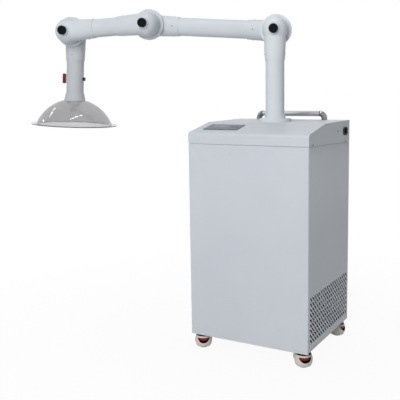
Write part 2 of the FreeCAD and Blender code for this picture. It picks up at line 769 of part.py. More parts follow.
def knob(label, place):
    """A round tension knob on the front boss of an elbow."""
    grip = keep(new_body(label, place))
    bore = "(rod_radius + rod_clear)"
    turned(grip, "Revolution", "knob", [
        (bore, BOSS),
        ("knob_radius", BOSS),
        ("knob_radius", f"{BOSS} + knob_height - knob_round"),
        ("knob_radius - knob_round", f"{BOSS} + knob_height"),
        ("knob_dish_radius", f"{BOSS} + knob_height"),
        ("knob_dish_radius", f"{BOSS} + knob_height - knob_dish"),
        (0, f"{BOSS} + knob_height - knob_dish"),
        (0, f"{BOSS} + knob_height - knob_top"),
        (bore, f"{BOSS} + knob_height - knob_top"),
    ], arcs={2: "knob_round"})
    return grip


def group(label, members):
    """Like pieces on one body, kept as separate solids under one name."""
    bunch = keep(doc.addObject("Part::Compound", label))
    bunch.Label = label
    bunch.Links = members
    return bunch


# Post, from the bearing in the base to the first elbow
straight_tube("post_tube", along(POST, 1), "socket_stop", "joint_rise - flange_thick / 2")
half_shell("elbow1_front_shell", f"{POST} * {FRONT_HALF}")

# Upper arm, in the rear plane
upper_end = f"{UPPER} * {far_end('upper_reach')}"
half_shell("elbow1_rear_shell", f"{UPPER} * {REAR_HALF}")
straight_tube("upper_arm_tube", along(UPPER, -1), "socket_stop", "upper_reach - socket_stop")
half_shell("elbow2_rear_shell", f"{upper_end} * {REAR_HALF}")
group("upper_arm_tie_rods", [tie_rod(f"{UPPER} * {REAR_HALF}"), tie_rod(f"{upper_end} * {REAR_HALF}")])
group("upper_arm_seals", [seal_ring(f"{UPPER} * {REAR_HALF}"), seal_ring(f"{upper_end} * {REAR_HALF}")])
knob("elbow1_knob", f"{UPPER} * {FRONT_HALF}")
knob("elbow2_knob", f"{upper_end} * {FRONT_HALF}")

# Forearm, in the front plane
half_shell("elbow2_front_shell", f"{FORE} * {FRONT_HALF}")
straight_tube("forearm_tube", along(FORE, 1), "socket_stop", "fore_reach - socket_stop")
half_shell("elbow3_front_shell", f"{FORE} * {far_end('fore_reach')} * {FRONT_HALF}")

# Drop tube, in the rear plane, with a red lock screw in its elbow
last_shell = half_shell("elbow3_rear_shell", f"{DROP} * {REAR_HALF}")
lock_seat = "(sqrt(dome_radius ^ 2 - (lock_drop - lock_radius) ^ 2) + fit_gap)"
solid(last_shell, "SubtractiveCylinder", "lock_hole", at=("lock_drop", 0, "elbow_offset"), axis="-y",
      Radius="lock_stem + rod_clear", Height="2 * dome_radius")
lock = keep(new_body("lock_screw", f"{DROP} * {REAR_HALF}"))
solid(lock, "AdditiveCylinder", "stem", at=("lock_drop", f"2 * shell_wall - {lock_seat}", "elbow_offset"),
      axis="-y", Radius="lock_stem", Height="2 * shell_wall")
solid(lock, "AdditiveCylinder", "head", at=("lock_drop", f"-{lock_seat}", "elbow_offset"), axis="-y",
      Radius="lock_radius", Height="lock_head")
tie = keep(tie_rod(f"{DROP} * {REAR_HALF}"))
tie.Label = "drop_tie_rod"
ring_seal = keep(seal_ring(f"{DROP} * {REAR_HALF}"))
ring_seal.Label = "drop_seal"
knob("elbow3_knob", f"{DROP} * {FRONT_HALF}")
drop_tube = straight_tube("drop_tube", along(DROP, -1), "socket_stop", "drop_length")
solid(drop_tube, "SubtractiveCylinder", "shaft_holes", at=("-2 * tube_radius", 0, "damper_down"), axis="x",
      Radius="damper_shaft + rod_clear", Height="4 * tube_radius")

# Butterfly damper: a disc on a cross shaft, turned by a lever on the outer side and held by a nut
disc = keep(new_body("damper_disc", along(DROP, -1)))
solid(disc, "AdditiveCylinder", "plate", at=(0, "-damper_thick / 2", "damper_down"), axis="y",
      Radius="tube_radius - tube_wall - damper_gap", Height="damper_thick")
solid(disc, "AdditiveCylinder", "hub", at=("-damper_hub_length / 2", 0, "damper_down"), axis="x",
      Radius="damper_hub", Height="damper_hub_length")
solid(disc, "SubtractiveCylinder", "shaft_bore", at=("-2 * tube_radius", 0, "damper_down"), axis="x",
      Radius="damper_shaft + rod_clear", Height="4 * tube_radius")
spindle = keep(new_body("damper_shaft", along(DROP, -1)))
lever_foot = "(tube_radius + handle_standoff)"
solid(spindle, "AdditiveCylinder", "shaft", at=(f"-{lever_foot} - lever_thick / 2", 0, "damper_down"),
      axis="x", Radius="damper_shaft",
      Height=f"{lever_foot} + lever_thick / 2 + tube_radius + nut_gap + nut_length")
nut = keep(new_body("damper_nut", along(DROP, -1)))
solid(nut, "AdditiveCylinder", "end_nut", at=("tube_radius + nut_gap", 0, "damper_down"), axis="x",
      Radius="nut_radius", Height="nut_length")
solid(nut, "SubtractiveCylinder", "shaft_bore", at=("tube_radius", 0, "damper_down"), axis="x",
      Radius="damper_shaft + rod_clear", Height="nut_gap + 2 * nut_length")
lever = keep(new_body("damper_handle", along(DROP, -1)))
half_width = "(lever_width / 2)"
half_length = "(lever_length / 2 - lever_width / 2)"
bar = outline(lever, "lever_outline", "YZ_Plane", [
    (half_width, f"damper_down - {half_length}"),
    (half_width, f"damper_down + {half_length}"),
    (0, f"damper_down + {half_length} + {half_width}"),
    (f"-{half_width}", f"damper_down + {half_length}"),
    (f"-{half_width}", f"damper_down - {half_length}"),
    (0, f"damper_down - {half_length} - {half_width}"),
], arcs={1: half_width, 2: half_width, 4: half_width, 5: half_width}, level=f"-{lever_foot}")
pad(lever, "lever", bar, "lever_thick", back=True)
solid(lever, "SubtractiveCylinder", "shaft_bore", at=(f"-{lever_foot} - lever_thick / 2", 0, "damper_down"),
      axis="x", Radius="damper_shaft + rod_clear", Height="lever_thick")

# Hood collar: a flared neck glued on the drop tube
neck = keep(new_body("hood_collar", along(DROP, -1)))
neck_bore = "(tube_radius + glue_gap)"
neck_top = "(drop_length - neck_lap)"
neck_bottom = "(drop_length + neck_drop)"
turned(neck, "Revolution", "flare", [
    (neck_bore, neck_top),
    (f"{neck_bore} + neck_wall", neck_top),
    ("neck_foot", neck_bottom),
    ("neck_foot - neck_wall", neck_bottom),
    (neck_bore, "drop_length"),
])

# Dome hood: a thin clear dome with a flat rim, hung from the collar's foot
hood = keep(new_body("dome_hood", along(DROP, -1)))
hood_low = f"({neck_bottom} + hood_depth)"
turned(hood, "Revolution", "dome", [
    ("hood_mouth", neck_bottom),
    ("hood_top", neck_bottom),
    ("hood_foot", f"{hood_low} - hood_wall"),
    ("hood_radius", f"{hood_low} - hood_wall"),
    ("hood_radius", hood_low),
    ("hood_foot - hood_wall", hood_low),
    ("hood_top - hood_wall / 2", f"{neck_bottom} + hood_wall"),
    ("hood_mouth", f"{neck_bottom} + hood_wall"),
], arcs={1: "hood_arc", 5: "-(hood_arc - hood_wall)"})

# Levelling casters, each in a frame with its origin under the base and x, y level
CASTERS = {
    "front_left": (f"caster_side - {HALF_X}", f"caster_front - {HALF_Y}", 30),
    "front_right": (f"{HALF_X} - caster_side", f"caster_front - {HALF_Y}", 37),
    "rear_left": (f"caster_side - {HALF_X}", f"{HALF_Y} - caster_rear", -60),
    "rear_right": (f"{HALF_X} - caster_side", f"{HALF_Y} - caster_rear", 88),
}
KING = "(plate_thick + boss_drop)"
WHEEL_Z = "(wheel_radius - caster_height)"
DIAL_LOW = "(dial_high + dial_height)"
PAD_LOW = "(pad_rise - caster_height)"


def caster_plate(place):
    """The fixed plate with its bearing boss and king pin."""
    plate = new_body("caster_plate", place)
    block(plate, "AdditiveBox", "plate", ("-plate_size / 2", "-plate_size / 2", "-plate_thick"),
          ("plate_size / 2", "plate_size / 2", 0))
    solid(plate, "AdditiveCylinder", "boss", at=(0, 0, f"-{KING}"), Radius="king_boss", Height="boss_drop")
    solid(plate, "AdditiveCylinder", "king_pin", at=(0, 0, f"-{KING} - king_length"),
          Radius="king_radius", Height="king_length")
    return plate


def caster_housing(label, place):
    """The swivelling housing: a round tower over the foot and a fender over the wheel."""
    house = keep(new_body(label, place))
    fender = "(wheel_radius + wheel_gap + fender_wall)"
    well = "(wheel_radius + wheel_gap)"
    slot = "(wheel_width / 2 + wheel_gap)"
    cheeks = f"({slot} + cheek)"
    turned(house, "Revolution", "tower", [
        (0, "-house_low"),
        ("tower_foot", "-house_low"),
        ("tower_top", f"-{KING}"),
        (0, f"-{KING}"),
    ], arcs={1: "tower_bulge"})
    solid(house, "AdditiveCylinder", "fender", at=(f"-{cheeks}", "wheel_trail", WHEEL_Z), axis="x",
          Radius=fender, Height=f"2 * {cheeks}")
    block(house, "SubtractiveBox", "under", (f"-2 * {cheeks}", "-2 * tower_foot", "-2 * caster_height"),
          (f"2 * {cheeks}", f"wheel_trail + 2 * {fender}", "-house_low"))
    solid(house, "SubtractiveCylinder", "dial_room", at=(0, 0, f"-{DIAL_LOW} - dial_gap"),
          Radius="dial_radius + dial_gap", Height="dial_height + 2 * dial_gap")
    crescent = outline(house, "window_outline", "XZ_Plane", [
        ("window_width / 2", "dial_gap - dial_high"),
        ("-window_width / 2", "dial_gap - dial_high"),
    ], arcs={1: "window_arc"})
    window_cut = house.newObject("PartDesign::Pocket", "window")
    window_cut.Profile = crescent
    bind(window_cut, {"Length": "2 * tower_foot"})
    window_cut.Reversed = True
    solid(house, "SubtractiveCylinder", "wheel_well", at=(f"-{slot}", "wheel_trail", WHEEL_Z), axis="x",
          Radius=well, Height=f"2 * {slot}")
    solid(house, "SubtractiveCylinder", "foot_well", at=(0, 0, "-caster_height"),
          Radius="pad_radius + stem_gap", Height=f"caster_height - {DIAL_LOW}")
    solid(house, "SubtractiveCylinder", "king_hole", at=(0, 0, f"-{KING} - king_length - stem_gap"),
          Radius="king_radius + shaft_clear", Height="2 * king_length")
    solid(house, "AdditiveCylinder", "axle", at=(f"-{cheeks}", "wheel_trail", WHEEL_Z), axis="x",
          Radius="axle_radius", Height=f"2 * {cheeks}")
    return house


def caster_wheel(label, place):
    """A nylon wheel with a rounded tread and dished sides, running on the axle."""
    wheel = keep(new_body(label, f"{place} * {frame(0, 'wheel_trail', WHEEL_Z, 'y', 90)}"))
    bore = "(axle_radius + shaft_clear)"
    side = "(wheel_width / 2)"
    turned(wheel, "Revolution", "tread", [
        (bore, f"-{side}"),
        ("2 * axle_radius", f"-{side}"),
        ("2 * axle_radius", f"2 * wheel_gap - {side}"),
        ("wheel_radius - 2 * wheel_gap", f"2 * wheel_gap - {side}"),
        ("wheel_radius - wheel_gap", f"wheel_gap - {side}"),
        ("wheel_radius", f"2 * wheel_gap - {side}"),
        ("wheel_radius", f"{side} - 2 * wheel_gap"),
        ("wheel_radius - wheel_gap", f"{side} - wheel_gap"),
        ("wheel_radius - 2 * wheel_gap", f"{side} - 2 * wheel_gap"),
        ("2 * axle_radius", f"{side} - 2 * wheel_gap"),
        ("2 * axle_radius", side),
        (bore, side),
    ])
    return wheel


def caster_dial(label, place):
    """The red thumb wheel that works the foot's screw."""
    dial = keep(new_body(label, place))
    solid(dial, "AdditiveCylinder", "wheel", at=(0, 0, f"-{DIAL_LOW}"), Radius="dial_radius",
          Height="dial_height")
    solid(dial, "SubtractiveCylinder", "thread", at=(0, 0, "-caster_height"),
          Radius="stem_radius + shaft_clear", Height="caster_height")
    return dial


def caster_foot(label, place):
    """The levelling foot: a screw stem on a tall rubber pad, drawn up into the housing."""
    foot = keep(new_body(label, place))
    pad_top = f"-{DIAL_LOW} - stem_gap"
    turned(foot, "Revolution", "foot", [
        (0, PAD_LOW),
        ("pad_radius - stem_gap", PAD_LOW),
        ("pad_radius", f"{PAD_LOW} + stem_gap"),
        ("pad_radius", f"{PAD_LOW} + pad_tread"),
        ("pad_radius - stem_gap", f"{PAD_LOW} + pad_tread + stem_gap"),
        ("pad_radius - stem_gap", pad_top),
        ("stem_radius", pad_top),
        ("stem_radius", "-stem_top"),
        (0, "-stem_top"),
    ])
    return foot


plates = []
for corner, (x, y, heading) in CASTERS.items():
    plates.append(caster_plate(frame(x, y, BASE)))
    place = frame(x, y, BASE, "z", heading)
    caster_housing(f"{corner}_caster_housing", place)
    caster_wheel(f"{corner}_wheel", place)
    caster_dial(f"{corner}_dial", place)
    caster_foot(f"{corner}_foot", place)
group("caster_plates", plates)

doc.recompute()
for item in doc.Objects:
    if "Invalid" in item.State or "Error" in item.State:
        raise RuntimeError(f"{item.Label} did not build: {item.State}")
for piece in pieces:
    if piece.Shape.isNull() or not piece.Shape.isValid():
        raise RuntimeError(f"{piece.Label} has no valid shape")
os.makedirs("parts", exist_ok=True)
for piece in pieces:
    piece.Shape.exportStep(f"parts/{piece.Label}.step")
    print(f"{piece.Label}: {len(piece.Shape.Solids)} solids, {piece.Shape.Volume / 1000:.1f} cm3")
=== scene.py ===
import math
import bpy
import numpy as np
from mathutils import Matrix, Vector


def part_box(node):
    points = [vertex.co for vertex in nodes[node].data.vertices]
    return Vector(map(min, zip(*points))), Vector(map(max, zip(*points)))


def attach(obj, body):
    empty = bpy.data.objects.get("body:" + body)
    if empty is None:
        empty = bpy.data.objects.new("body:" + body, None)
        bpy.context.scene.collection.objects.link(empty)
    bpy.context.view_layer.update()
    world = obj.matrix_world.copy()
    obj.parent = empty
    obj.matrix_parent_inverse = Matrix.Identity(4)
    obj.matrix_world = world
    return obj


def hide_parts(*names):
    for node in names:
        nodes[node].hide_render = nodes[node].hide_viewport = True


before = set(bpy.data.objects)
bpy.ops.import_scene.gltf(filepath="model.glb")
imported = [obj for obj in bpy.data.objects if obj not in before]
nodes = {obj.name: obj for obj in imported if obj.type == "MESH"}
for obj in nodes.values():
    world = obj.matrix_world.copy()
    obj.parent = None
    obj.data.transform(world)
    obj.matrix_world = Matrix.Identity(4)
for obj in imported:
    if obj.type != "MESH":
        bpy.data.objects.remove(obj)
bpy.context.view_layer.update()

# Cabinet panels: folded steel sheet, powder coated in a pale blue-grey.
# The cured powder gives a satin skin with a faint orange-peel ripple, soft cloudy changes of tone and
# patches that handling has left a little duller.


def linear(hex_colour):
    """An sRGB hex colour as linear red, green, blue and alpha, by the sRGB transfer curve."""
    codes = np.array([int(hex_colour[i:i + 2], 16) for i in (1, 3, 5)]) / 255
    light = np.where(codes <= 0.04045, codes / 12.92, ((codes + 0.055) / 1.055) ** 2.4)
    return (*light.tolist(), 1.0)


def add(tree, kind, settings=None, **links):
    """A node of that kind with its settings; each link names an input (or its number) and an output."""
    node = tree.nodes.new(kind)
    for key, value in (settings or {}).items():
        if hasattr(node, key):
            setattr(node, key, value)
        else:
            node.inputs[key].default_value = value
    for key, source in links.items():
        name = key.replace("_", " ").strip()
        tree.links.new(source, node.inputs[int(name)] if name.isdigit() else node.inputs[name])
    return node


def start(name, colour, roughness, **sockets):
    """A new material: its tree, its surface shader, and its Object coordinates in metres."""
    made = bpy.data.materials.new(name)
    made.use_nodes = True
    tree = made.node_tree
    surface = tree.nodes["Principled BSDF"]
    surface.inputs["Base Color"].default_value = linear(colour)
    surface.inputs["Roughness"].default_value = roughness
    for key, value in sockets.items():
        surface.inputs[key.replace("_", " ")].default_value = value
    place = add(tree, "ShaderNodeTexCoord").outputs["Object"]
    return made, tree, surface, place


def two_tone(tree, surface, amount, dark, light):
    """The surface's colour runs from dark to light as amount goes from 0.3 to 0.7."""
    ramp = add(tree, "ShaderNodeValToRGB", _0=amount)
    for element, position, colour in zip(ramp.color_ramp.elements, (0.3, 0.7), (dark, light)):
        element.position = position
        element.color = linear(colour)
    tree.links.new(ramp.outputs["Color"], surface.inputs["Base Color"])


def dulling(tree, surface, amount, low, high):
    """The surface's roughness runs from low to high as amount goes from 0.3 to 0.7."""
    span = add(tree, "ShaderNodeMapRange", {"From Min": 0.3, "From Max": 0.7, "To Min": low, "To Max": high},
               Value=amount)
    tree.links.new(span.outputs[0], surface.inputs["Roughness"])


def ripple(tree, surface, height, depth):
    """A bump of that depth in metres from a height of 0 to 1."""
    bump = add(tree, "ShaderNodeBump", {"Strength": 1.0, "Distance": depth}, Height=height)
    tree.links.new(bump.outputs["Normal"], surface.inputs["Normal"])


def dress(material, *names):
    """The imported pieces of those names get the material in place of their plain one."""
    for name in names:
        nodes[name].data.materials.clear()
        nodes[name].data.materials.append(material)


# Clouds of 330 mm, handled patches of 90 mm, and peel of 4 mm, coarser than real so that it shows.
powder_coat, tree, surface, place = start("powder_coated_steel_pale_grey", "#CDD3DB", 0.4,
                                          Specular_IOR_Level=0.35)
clouds = add(tree, "ShaderNodeTexNoise", {"Scale": 3.0, "Detail": 3.0}, Vector=place)
two_tone(tree, surface, clouds.outputs[0], "#CBD1D9", "#D0D6DD")
handling = add(tree, "ShaderNodeTexNoise", {"Scale": 11.0, "Detail": 4.0}, Vector=place)
dulling(tree, surface, handling.outputs[0], 0.38, 0.44)
peel = add(tree, "ShaderNodeTexNoise", {"Scale": 260.0, "Detail": 2.0}, Vector=place)
ripple(tree, surface, peel.outputs[0], 0.00008)
dress(powder_coat, "front_panel", "rear_panel", "top_cover")

# Side panels: the same coated sheet, pierced over its lower part by close rows of slanted slots.
# The slots let the cleaned air out and run almost from edge to edge; the top edge falls a little to the rear.


def cells(centres, corners):
    """Every quad of a pattern, given by its corners, repeated about every centre."""
    return (centres[:, None, None, :] + corners[None]).reshape(-1, 4, 2)


def patches(*corners):
    """Quads whose four corners are each a depth and a height, single or in rows."""
    flat = np.broadcast_arrays(*(np.atleast_1d(value) for corner in corners for value in corner))
    return np.stack(flat, axis=-1).reshape(-1, 4, 2)


def strips(low_y, high_y, low_z, high_z):
    """Upright rectangles between those limits, single or in rows."""
    return patches((low_y, low_z), (high_y, low_z), (high_y, high_z), (low_y, high_z))


def pierced_sheet(low, high, fall):
    """A flat sheet from its low to its high corner in depth and height, pierced low down by slanted slots.

    Every slot sits in a slanted cell that leans one pitch to the rear over one row, and four quads join the
    slot's corners to the cell's. Half cells square off the rows' ends, plain strips fill the sheet round
    them, and the top edge drops by fall from front to rear.
    """
    pitch, row, length, width, foot, columns, rows = 0.0219, 0.020, 0.86, 0.54, 0.027, 20, 9
    first = (low[0] + high[0] - columns * pitch) / 2
    base = low[1] + foot
    steps_y = first + pitch * np.arange(columns + 1)
    steps_z = base + row * np.arange(rows + 1)
    last, top = steps_y[-1], steps_z[-1]
    lean = np.array([(0.5, -0.5), (0.5, -0.5), (-0.5, 0.5), (-0.5, 0.5)]) * (pitch, row)
    spread = np.array([(-0.5, 0), (0.5, 0), (0.5, 0), (-0.5, 0)]) * (pitch, row)
    outer, inner = lean + spread, length * lean + width * spread
    cell = np.stack((inner, outer, np.roll(outer, -1, 0), np.roll(inner, -1, 0)), axis=1)
    centres = np.stack(np.meshgrid(steps_y[1:-1], steps_z[:-1] + row / 2), axis=-1).reshape(-1, 2)
    border = np.concatenate(([low[0]], steps_y, [high[0]]))
    roof = high[1] - fall * (border - low[0]) / (high[0] - low[0])
    under, over = steps_z[:-1], steps_z[1:]
    return np.concatenate((
        cells(centres, cell),
        patches((first, under), (steps_y[1], under), (first, over), (first, over)),
        patches((last, under), (last, over), (steps_y[-2], over), (steps_y[-2], over)),
        strips(low[0], first, under, over),
        strips(last, high[0], under, over),
        strips(border[:-1], border[1:], low[1], base),
        patches((border[:-1], top), (border[1:], top), (border[1:], roof[1:]), (border[:-1], roof[:-1])),
    ))


def stitch(quads):
    """The points of a heap of quads, joined where they coincide, and each face as point numbers.

    A quad with one side shrunk to a point, as at a pole, becomes a triangle.
    """
    points, found = np.unique(np.round(quads.reshape(-1, 3), 7), axis=0, return_inverse=True)
    faces = found.reshape(-1, 4)
    following = np.roll(faces, -1, axis=1)
    whole = (faces != following).all(axis=1)
    made = faces[whole].tolist()
    for side in range(4):
        shrunk = faces[:, side] == following[:, side]
        made += np.delete(faces[shrunk], side, axis=1).tolist()
    return points, made


def piece(name, quads, material, body, closed=True):
    """A new object from quads, with smooth rounds and crisp edges, riding on a body of the part.

    Closed quads whose volume comes out negative are turned over, so that every face looks outward.
    """
    crease = math.radians(32)
    facings = np.cross(quads[:, 1] - quads[:, 0], quads[:, 2] - quads[:, 0])
    if closed and np.einsum("ij,ij->", quads[:, 0], facings) < 0:
        quads = quads[:, ::-1]
    points, faces = stitch(quads)
    mesh = bpy.data.meshes.new(name)
    mesh.from_pydata(points.tolist(), [], faces)
    mesh.polygons.foreach_set("use_smooth", np.ones(len(mesh.polygons), bool))
    mesh.set_sharp_from_angle(angle=crease)
    mesh.materials.append(material)
    made = bpy.data.objects.new(name, mesh)
    bpy.context.scene.collection.objects.link(made)
    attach(made, body)
    return made


top_fall, sheet_thickness = 0.01475, 0.002
for side, facing in (("right", 1), ("left", -1)):
    low, high = (np.array(corner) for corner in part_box(f"{side}_side_panel"))
    flat = pierced_sheet(low[1:], high[1:], top_fall)[:, ::facing]
    plane = np.full(flat.shape[:2] + (1,), high[0] if facing > 0 else low[0])
    skin = np.concatenate((plane, flat), axis=2)
    sheet = piece(f"{side}_pierced_sheet", skin, powder_coat, "cabinet", closed=False)
    wall = sheet.modifiers.new("sheet_thickness", "SOLIDIFY")
    wall.thickness = sheet_thickness
    wall.offset = -1
    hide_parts(f"{side}_side_panel")

# Panel screws: small zinc-plated button heads with a round recess, through the panels into the cover's rim.
# On each side two stand just above the seam and one higher up; the rest hold the rear panel.
# The zinc's bloom is drawn in spots of 2 mm, because the real ones are too fine to show.
zinc_plate, tree, surface, place = start("zinc_plated_steel", "#8F9194", 0.35, Metallic=1.0)
bloom = add(tree, "ShaderNodeTexNoise", {"Scale": 500.0}, Vector=place)
two_tone(tree, surface, bloom.outputs[0], "#838588", "#9C9EA1")
dulling(tree, surface, bloom.outputs[0], 0.28, 0.45)


def grid_quads(grid):
    """The quads of a grid of points that runs up its first direction and round its second."""
    return np.stack((grid[:-1, :-1], grid[:-1, 1:], grid[1:, 1:], grid[1:, :-1]), axis=2).reshape(-1, 4, 3)


def turned(profile, bases, axes, sides=16):
    """A profile of radius and height pairs carried round each axis from its base point."""
    profile = np.asarray(profile, float)
    angle = np.linspace(0, 2 * math.pi, sides + 1)
    heap = []
    for base, axis in zip(np.atleast_2d(bases), np.atleast_2d(axes)):
        axis = np.asarray(axis, float) / np.linalg.norm(axis)
        across = np.cross(axis, np.eye(3)[np.abs(axis).argmin()])
        across = across / np.linalg.norm(across)
        ring = np.cos(angle)[:, None] * across + np.sin(angle)[:, None] * np.cross(axis, across)
        heap.append(grid_quads(base + profile[:, :1, None] * ring + profile[:, 1:, None] * axis))
    return np.concatenate(heap)


button_head = [(0, 0), (0.0042, 0), (0.0042, 0.0006), (0.0036, 0.0018), (0.0024, 0.0024), (0.0018, 0.0024),
               (0.0018, 0.0010), (0, 0.0010)]
low, high = (np.array(corner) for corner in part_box("top_cover"))
side_holes = ((-0.186, 0.8417), (0.176, 0.8296), (0.084, 0.875))
spots = [(x, y, z, x, 0, 0) for x in (low[0], high[0]) for y, z in side_holes]
rear_low, rear_high = (np.array(corner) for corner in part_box("rear_panel"))
foot_inset, head_inset, rear_reach = 0.012, 0.007, 0.236
rows = (rear_low[2] + foot_inset, (rear_low[2] + rear_high[2]) / 2, rear_high[2] - head_inset)
spots += [(x, high[1], z, 0, 1, 0) for x in (-rear_reach, rear_reach) for z in rows]
spots += [(0, high[1], z, 0, 1, 0) for z in rows[::2]]
spots = np.array(spots)
piece("panel_screws", turned(button_head, spots[:, :3], spots[:, 3:]), zinc_plate, "cabinet")

# Base pan, fan deck and motor bracket: hot-dip galvanised sheet, left unpainted inside the cabinet.
# The zinc freezes into crystals a centimetre or so across, each a slightly different grey.
galvanised, tree, surface, place = start("galvanised_steel_spangle", "#8D9194", 0.45, Metallic=1.0)
spangle = add(tree, "ShaderNodeTexVoronoi", {"Scale": 90.0}, Vector=place)
crystal = add(tree, "ShaderNodeSeparateColor", _0=spangle.outputs["Color"])
two_tone(tree, surface, crystal.outputs[0], "#83888C", "#9A9EA1")
dulling(tree, surface, crystal.outputs[1], 0.38, 0.55)
dress(galvanised, "base_pan", "fan_deck", "motor_bracket")

# Filters: a fleece prefilter and a pleated glass-paper filter over a cell of carbon granules.
# The paper is folded every 8 mm and is painted darker in each fold's valley as painted shade; the fleece has
# tufts of 3 mm; and the granules are dull black, 3 mm across, painted darker towards the gaps between them as
# painted shade.
pleated_paper, tree, surface, place = start("pleated_glass_paper", "#E4E4DF", 0.9)
pleats = add(tree, "ShaderNodeTexWave", {"Scale": 40.0, "bands_direction": "X"}, Vector=place)
# Painted shade: the paper darkens in each fold's valley and lightens on its ridge.
two_tone(tree, surface, pleats.outputs["Fac"], "#C9C9C3", "#EEEEEA")
ripple(tree, surface, pleats.outputs["Fac"], 0.003)
fleece, tree, surface, place = start("needled_polyester_fleece", "#DDDEDC", 0.95)
fibres = add(tree, "ShaderNodeTexNoise", {"Scale": 350.0, "Detail": 6.0}, Vector=place)
two_tone(tree, surface, fibres.outputs[0], "#CFD0CE", "#E9E9E7")
ripple(tree, surface, fibres.outputs[0], 0.001)
granules, tree, surface, place = start("activated_carbon_granules", "#1B1B1C", 0.8)
grains = add(tree, "ShaderNodeTexVoronoi", {"Scale": 300.0}, Vector=place)
# Painted shade: each granule is lighter at its middle and darker towards the gaps between granules.
two_tone(tree, surface, grains.outputs["Distance"], "#2A2A2B", "#101011")
ripple(tree, surface, grains.outputs["Distance"], -0.001)
dress(pleated_paper, "hepa_filter")
dress(fleece, "prefilter")
dress(granules, "carbon_filter")

# Fan: a spun and riveted aluminium wheel and nozzle on a black-enamelled motor.
# The spinning tool leaves rings round the axis, and the enamel on the casting is slightly pebbled.
# Both are drawn at about 2.5 mm, coarser than real, so that they show.
spun_aluminium, tree, surface, place = start("spun_aluminium", "#A9ACAF", 0.35, Metallic=1.0)
rings = add(tree, "ShaderNodeTexWave", {"wave_type": "RINGS", "rings_direction": "Z", "Scale": 120.0},
            Vector=place)
two_tone(tree, surface, rings.outputs["Fac"], "#A0A3A6", "#B3B6B8")
dulling(tree, surface, rings.outputs["Fac"], 0.28, 0.42)
enamel, tree, surface, place = start("black_enamel_on_casting", "#26282B", 0.5)
pebbles = add(tree, "ShaderNodeTexNoise", {"Scale": 400.0}, Vector=place)
two_tone(tree, surface, pebbles.outputs[0], "#1E2023", "#303236")
ripple(tree, surface, pebbles.outputs[0], 0.0003)
dress(spun_aluminium, "fan_impeller", "fan_inlet_ring")
dress(enamel, "fan_motor")

# Display panel: a slate polycarbonate overlay with a darker printed border, and its board behind.
# The overlay is smooth with a haze in patches of 17 mm; a paler window lies over the read-out, and three keys
# stand beside it.
overlay, tree, surface, place = start("printed_polycarbonate_overlay", "#505C6E", 0.3, Specular_IOR_Level=0.3)
slope_run, slope_rise, slope_foot, way_up = 0.166, 0.032, 0.880, 0.085
panel_x, panel_y = -0.136, -0.140
slope_angle = math.atan2(slope_rise, slope_run)
panel_middle = np.array([panel_x, panel_y, slope_foot + way_up * slope_rise / slope_run])
across, uphill = np.array([1.0, 0, 0]), np.array([0, math.cos(slope_angle), math.sin(slope_angle)])
outward = np.cross(across, uphill)
# The border is all that lies beyond the print's half sizes from the panel's middle, measured on the slope.
print_half_width, print_half_height, print_blur = 0.070, 0.032, 0.0004
from_middle = add(tree, "ShaderNodeVectorMath", {"operation": "SUBTRACT"}, _0=place)
from_middle.inputs[1].default_value = panel_middle.tolist()
reaches = []
for direction, half in ((across, print_half_width), (uphill, print_half_height)):
    along = add(tree, "ShaderNodeVectorMath", {"operation": "DOT_PRODUCT"}, _0=from_middle.outputs[0])
    along.inputs[1].default_value = direction.tolist()
    size = add(tree, "ShaderNodeMath", {"operation": "ABSOLUTE"}, _0=along.outputs["Value"])
    reach = add(tree, "ShaderNodeMath", {"operation": "SUBTRACT"}, _0=size.outputs[0])
    reach.inputs[1].default_value = half
    reaches.append(reach)
margin = add(tree, "ShaderNodeMath", {"operation": "MAXIMUM"}, _0=reaches[0].outputs[0],
             _1=reaches[1].outputs[0])
printed = add(tree, "ShaderNodeMapRange", {"From Min": -print_blur, "From Max": print_blur, "To Min": 1.0,
                                           "To Max": 0.0}, Value=margin.outputs[0])
two_tone(tree, surface, printed.outputs[0], "#45505F", "#505C6E")
haze = add(tree, "ShaderNodeTexNoise", {"Scale": 60.0, "Detail": 3.0}, Vector=place)
dulling(tree, surface, haze.outputs[0], 0.24, 0.36)
# The board's tracks run round fields of 4 by 2 mm.
solder_mask, tree, surface, place = start("green_solder_mask", "#1F5B35", 0.4)
tracks = add(tree, "ShaderNodeTexBrick",
             {"Scale": 120.0, "Color1": linear("#1F5B35"), "Color2": linear("#236A3D"),
              "Mortar": linear("#2F7A4A")}, Vector=place)
tree.links.new(tracks.outputs["Color"], surface.inputs["Base Color"])
dress(overlay, "control_panel")
dress(solder_mask, "control_board")


def plate(low, high, bottom, top, round_off):
    """A thin plate on the slope with rounded corners and a small chamfer.

    It is a stack of rings that close at the plate's middle, below and above. Each ring is a rounded rectangle:
    a quarter turn about each corner's centre in turn, four points to a turn.
    """
    chamfer_height, chamfer_width, to_middle = 0.0002, 0.0003, 1.0
    low, high = np.array(low), np.array(high)
    turn = np.arange(4)[:, None] * math.pi / 2 + np.linspace(0, math.pi / 2, 4)
    arc = np.stack((np.cos(turn), np.sin(turn)), axis=-1)
    quarter = np.array([(1, 1), (-1, 1), (-1, -1), (1, -1)])[:, None, :]
    stack = ((to_middle, bottom), (0.0, bottom), (0.0, top - chamfer_height), (chamfer_width, top),
             (to_middle, top))
    rings = []
    for inset, level in stack:
        half = np.maximum((high - low) / 2 - inset, 0)
        radius = max(round_off - inset, 0)
        flat = quarter * np.maximum(half - radius, 0) + radius * arc
        flat = flat.reshape(-1, 2) + (low + high) / 2
        ring = panel_middle + flat[:, :1] * across + flat[:, 1:] * uphill + level * outward
        rings.append(np.concatenate((ring, ring[:1])))
    return grid_quads(np.array(rings))


